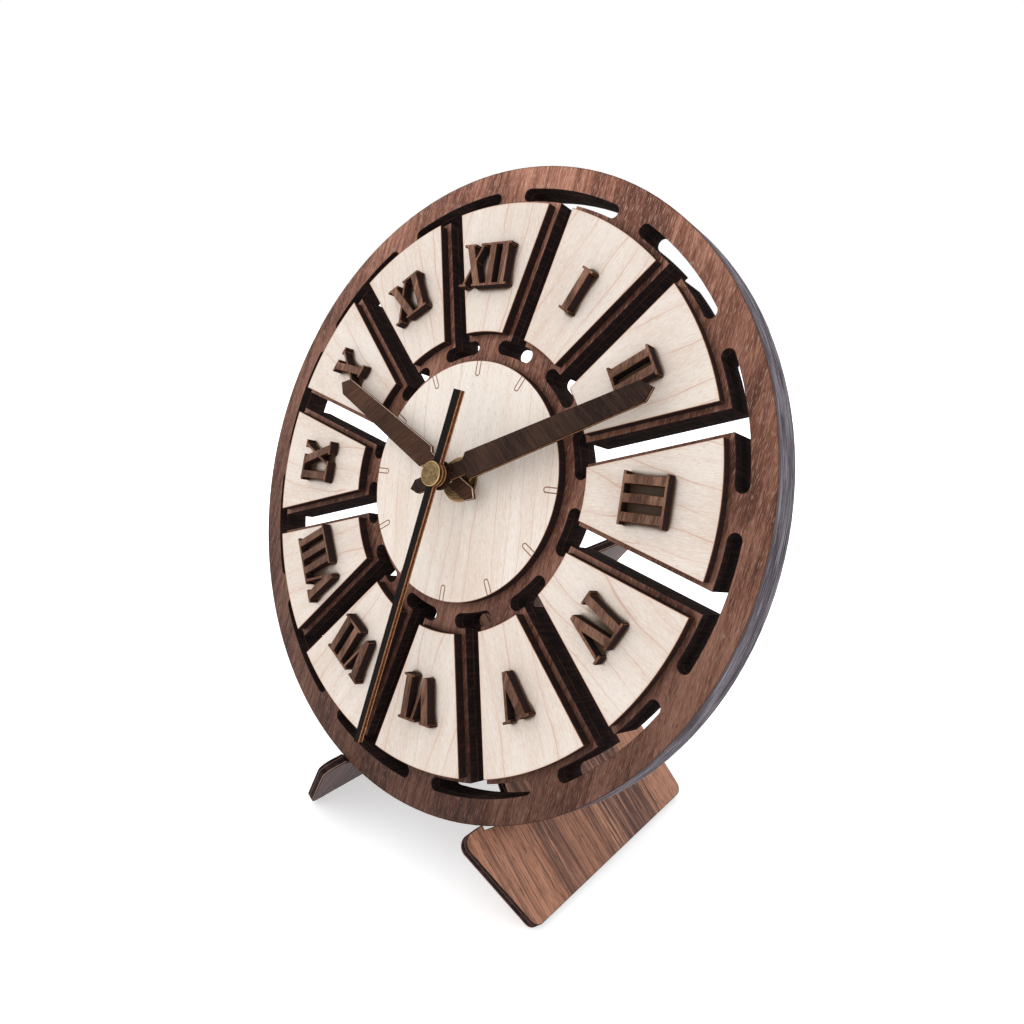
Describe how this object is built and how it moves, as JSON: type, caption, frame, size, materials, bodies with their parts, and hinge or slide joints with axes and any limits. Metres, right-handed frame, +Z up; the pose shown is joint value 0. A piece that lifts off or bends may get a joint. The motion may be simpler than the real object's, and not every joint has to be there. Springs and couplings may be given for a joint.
{
  "type": "desk clock",
  "caption": "Slotted round walnut desk clock with maple tiles, cut-out Roman numerals and three flat hands, leaning on two crossed stand boards.",
  "frame": {"origin": "on the floor, at the centre of the footprint of the whole clock", "axes": "+Z up, the dial faces -Y and leans back, +X to the right as seen from the front"},
  "size_m": [0.25, 0.1113, 0.2625],
  "materials": {
    "walnut_body": "satin, laser-cut edges darker",
    "walnut_dark": "satin, burnt edges",
    "walnut_stand": "satin, striped grain, burnt edges",
    "maple": "fine satin, burnt outline",
    "black_stain": "black stained face, brown edges",
    "brass_aged": "aged, satin",
    "rubber_black": "matt",
    "case_black": "fine grain",
    "wheel_white": "moulded",
    "knob_black": "moulded",
    "steel": "plain",
    "copper_wire": "enamelled wire",
    "board_green": "printed sheet",
    "battery_sleeve": "plain sleeve",
    "contact_metal": "sprung strip"
  },
  "bodies": {
    "clock": {"front_layer": "walnut_body", "middle_layer": "walnut_body", "back_layer": "walnut_body", "centre_disc": "maple", "tile_01": "maple", "tile_02": "maple", "tile_03": "maple", "tile_04": "maple", "tile_05": "maple", "tile_06": "maple", "tile_07": "maple", "tile_08": "maple", "tile_09": "maple", "tile_10": "maple", "tile_11": "maple", "tile_12": "maple", "numeral_01": "walnut_dark", "numeral_02": "walnut_dark", "numeral_03": "walnut_dark", "numeral_04": "walnut_dark", "numeral_05": "walnut_dark", "numeral_06": "walnut_dark", "numeral_07": "walnut_dark", "numeral_08": "walnut_dark", "numeral_09": "walnut_dark", "numeral_10": "walnut_dark", "numeral_11": "walnut_dark", "numeral_12": "walnut_dark", "stand_board_right": "walnut_stand", "stand_board_left": "walnut_stand", "dial_washer": "brass_aged", "dial_nut": "brass_aged", "gasket": "rubber_black", "movement_case": "case_black", "movement_cover": "case_black", "stator": "steel", "coil_bobbin": "wheel_white", "coil_winding": "copper_wire", "circuit_board": "board_green", "crystal": "steel", "battery": "battery_sleeve", "contact_positive": "contact_metal", "contact_negative": "contact_metal"},
    "minutes": {"minute_hand": "walnut_dark", "minute_collar": "walnut_dark", "minute_wheel": "wheel_white"},
    "hours": {"hour_hand": "walnut_dark", "hour_wheel": "wheel_white"},
    "seconds": {"second_hand": "black_stain", "hand_cap": "brass_aged", "seconds_wheel": "wheel_white"},
    "motion": {"motion_wheel": "wheel_white"},
    "clutch": {"clutch_wheel": "wheel_white"},
    "setting": {"setting_knob": "knob_black"},
    "third": {"third_wheel": "wheel_white"},
    "intermediate": {"intermediate_wheel": "wheel_white"},
    "motor": {"rotor": "steel"}
  },
  "joints": [
    {"name": "minute_turn", "type": "hinge", "parent": "clock", "child": "minutes", "pos_m": [0, -0.01132, 0.1448], "axis": [0, 0.9516, -0.3074], "continuous": true},
    {"name": "hour_turn", "type": "hinge", "parent": "clock", "child": "hours", "pos_m": [0, -0.01132, 0.1448], "axis": [0, 0.9516, -0.3074], "continuous": true},
    {"name": "motion_turn", "type": "hinge", "parent": "clock", "child": "motion", "pos_m": [0.00885, -0.01192, 0.14293], "axis": [0, 0.9516, -0.3074], "continuous": true},
    {"name": "setting_turn", "type": "hinge", "parent": "clock", "child": "setting", "pos_m": [0.01722, -0.01086, 0.14623], "axis": [0, 0.9516, -0.3074], "continuous": true},
    {"name": "second_turn", "type": "hinge", "parent": "clock", "child": "seconds", "pos_m": [0, -0.01132, 0.1448], "axis": [0, 0.9516, -0.3074], "continuous": true},
    {"name": "clutch_turn", "type": "hinge", "parent": "clock", "child": "clutch", "pos_m": [0, -0.01132, 0.1448], "axis": [0, 0.9516, -0.3074], "continuous": true},
    {"name": "third_turn", "type": "hinge", "parent": "clock", "child": "third", "pos_m": [-0.00981, -0.00975, 0.14966], "axis": [0, 0.9516, -0.3074], "continuous": true},
    {"name": "intermediate_turn", "type": "hinge", "parent": "clock", "child": "intermediate", "pos_m": [0.00446, -0.00868, 0.15295], "axis": [0, 0.9516, -0.3074], "continuous": true},
    {"name": "motor_turn", "type": "hinge", "parent": "clock", "child": "motor", "pos_m": [0.01081, -0.0086, 0.15322], "axis": [0, 0.9516, -0.3074], "continuous": true}
  ],
  "couplings": [
    {"joint": "hour_turn", "follows": "minute_turn", "ratio": 0.083333},
    {"joint": "motion_turn", "follows": "minute_turn", "ratio": -0.33333},
    {"joint": "setting_turn", "follows": "minute_turn", "ratio": 1},
    {"joint": "clutch_turn", "follows": "second_turn", "ratio": 0.016667},
    {"joint": "third_turn", "follows": "second_turn", "ratio": -0.13333},
    {"joint": "intermediate_turn", "follows": "second_turn", "ratio": -5},
    {"joint": "motor_turn", "follows": "second_turn", "ratio": 30}
  ]
}
